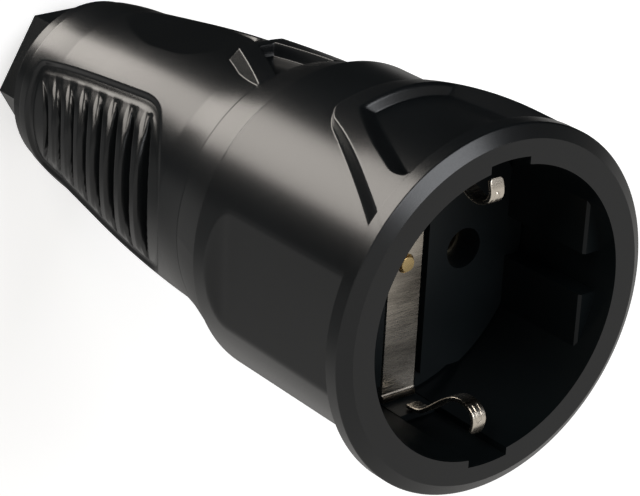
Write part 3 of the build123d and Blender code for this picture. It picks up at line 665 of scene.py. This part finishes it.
def jacket_sector(name, degrees, rows):
    """One sector of the jacket. Its rows bend with the ribs, and close over both ends and the bore."""
    mean_radius, front_bore, rear_bore, most_bent = 17.0, 14.43, 11.87, 1.15
    around = np.radians(degrees)
    row_grid, angle_grid = np.meshgrid(rows, around, indexing="ij")
    t = mean_radius * np.cos(angle_grid)
    inner = panel_half(row_grid) - panel_border
    fade = ease(np.abs(np.sin(angle_grid)), 0.42, 0.66)
    spread = ease(row_grid, 47.2, 53.5) * (1.0 - ease(row_grid, 80.5, 88.2))
    bend = rib_bow * np.minimum(np.abs(t) / inner, most_bent)**2 * fade * spread
    depth_grid = row_grid + bend
    ones = np.ones((1, len(around)))
    first = ones * jacket_start
    radius = np.concatenate([ones * front_bore, jacket_skin(angle_grid, depth_grid),
                             ones * rear_bore, ones * front_bore])
    depth_grid = np.concatenate([first, depth_grid, ones * jacket_end, first])
    angle_grid = np.repeat(around[None], len(depth_grid), axis=0)
    return lattice(name, angle_grid, depth_grid, radius, jacket, False)


thumb_degrees = spaced((-36, -26, 1.0), (-26, 26, 0.16), (26, 36, 1.0))
jacket_parts = [
    jacket_sector("grip_jacket_left", spaced((36, 144, 0.4)), panel_rows),
    jacket_sector("grip_jacket_right", spaced((-144, -36, 0.4)), panel_rows),
    jacket_sector("grip_jacket_thumb", thumb_degrees, thumb_rows),
    jacket_sector("grip_jacket_back", spaced((144, 216, 1.5)), panel_rows),
]
for piece in jacket_parts:
    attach(piece, "rear")
    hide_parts("grip_jacket")

# Lights: soft panels that face the middle of the object from the same distance
panel_distance = 0.9
object_middle = Vector((0.0, 0.0, 0.055))


def area_light(name, direction, size, power, along, colour, shift=0.0):
    """Panel in a direction from the object, which faces it and is shifted along its long side."""
    light = bpy.data.lights.new(name, "AREA")
    light.shape = "RECTANGLE"
    light.size = size[0]
    light.size_y = size[1]
    light.energy = power
    light.color = colour
    panel = placed(name, light)
    away = Vector(direction).normalized()
    across = Vector(along).cross(away).normalized()
    turn = Matrix((across, away.cross(across), away)).transposed().to_4x4()
    place = object_middle + away * panel_distance + away.cross(across) * shift
    panel.matrix_world = Matrix.Translation(place) @ turn
    panel.visible_camera = False


# One long strip in three lengths (start, end, width, level), each dimmer towards the tail. Its
# power is for each square metre at level one
strip_power = 43.5
strip_lengths = ((-0.4, 1.2, 0.5, 0.5), (-1.0, -0.4, 0.34, 0.38), (-1.9, -1.0, 0.5, 0.23))
for number, (start, end, width, level) in enumerate(strip_lengths):
    area_light("strip_panel_%d" % number, (0.484, -0.741, -0.465), (width, end - start),
               strip_power * level * width * (end - start), along=(0.395, -0.289, 0.872),
               colour=(1.0, 0.94, 0.87), shift=(start + end) / 2)
area_light("mouth_panel", (-0.113, -0.46, 0.774), (0.42, 0.6), 3.6,
           along=(0.9, -0.3, 0.1), colour=(0.94, 0.96, 1.0))

# Room: pale above and towards +Y, dark below and towards -Y, with a glow at the -X edge on the
# +Y side, and white to the camera
plain_white = (1.0, 1.0, 1.0, 1.0)
warm_white = (1.0, 0.98, 0.95, 1.0)
sky = Tree("studio", world=True)
look = sky.node("ShaderNodeTexCoord", output="Generated")
sky_x, sky_y, sky_z = [
    sky.node("ShaderNodeSeparateXYZ", {"Vector": look}, output=name) for name in "XYZ"
]
tilt = sky_y + sky_z * 0.45 + sky_x * 0.2
edge_glow = sky_x.ramp(-0.72, -0.6, 0.42, 0.0) * sky_y.ramp(-0.1, 0.1)
rising = tilt.ramp(-0.36, -0.18, 0.012, 0.2) + tilt.ramp(0.05, 0.4, 0.0, 0.34)
room_level = rising.maths("MAXIMUM", edge_glow)
room = sky.node("ShaderNodeBackground", {"Color": warm_white, "Strength": room_level})
white = sky.node("ShaderNodeBackground", {"Color": plain_white, "Strength": 1.0})
seen = sky.node("ShaderNodeLightPath", output="Is Camera Ray")
bpy.context.scene.world = sky.surface(sky.node("ShaderNodeMixShader", {0: seen, 1: room, 2: white}))

# Floor: glowing matt paper that only the camera sees, nearly white with the object's shadow on
# it. It is clear from below, and casts no shadow, so the strip below it lights the object
floor_half = 1.5
paper_glow_level = 0.56
paper_colour = (0.8, 0.8, 0.8, 1.0)
floor_mesh = bpy.data.meshes.new("floor")
floor_mesh.from_pydata(
    [(-floor_half, -floor_half, 0.0), (floor_half, -floor_half, 0.0),
     (floor_half, floor_half, 0.0), (-floor_half, floor_half, 0.0)],
    [], [(0, 1, 2, 3)],
)
floor = placed("floor", floor_mesh)
paper = Tree("floor_paper")
paper_glow = paper.node("ShaderNodeEmission", {"Color": plain_white, "Strength": paper_glow_level})
paper_matt = paper.node("ShaderNodeBsdfDiffuse", {"Color": paper_colour})
paper_front = paper.node("ShaderNodeAddShader", {0: paper_glow, 1: paper_matt})
paper_back = paper.node("ShaderNodeBsdfTransparent")
from_below = paper.node("ShaderNodeNewGeometry", output="Backfacing")
floor_mesh.materials.append(paper.surface(
    paper.node("ShaderNodeMixShader", {0: from_below, 1: paper_front, 2: paper_back})))
floor.visible_diffuse = False
floor.visible_glossy = False
floor.visible_shadow = False

# Camera at the photograph's angle, worked out from the ellipses of the socket face, and then
# moved a little in its own plane
right = Vector((-0.78815, -0.04575, 0.61378))
up = Vector((-0.22127, -0.90951, -0.35193))
back = Vector((0.57434, -0.41318, 0.70670))
worked_out = Vector((0.2016, -0.1408, overall + 0.2126))
move_right = -0.0003
move_up = -0.00026
camera_data = bpy.data.cameras.new("photo_camera")
camera_data.sensor_width = 36.0
camera_data.lens = 146.74
camera_data.clip_start = 0.01
camera = placed("photo_camera", camera_data)
turn = Matrix((right, up, back)).transposed().to_4x4()
place = worked_out + right * move_right + up * move_up
camera.matrix_world = Matrix.Translation(place) @ turn
bpy.context.scene.camera = camera
bpy.context.scene.view_settings.view_transform = "Standard"
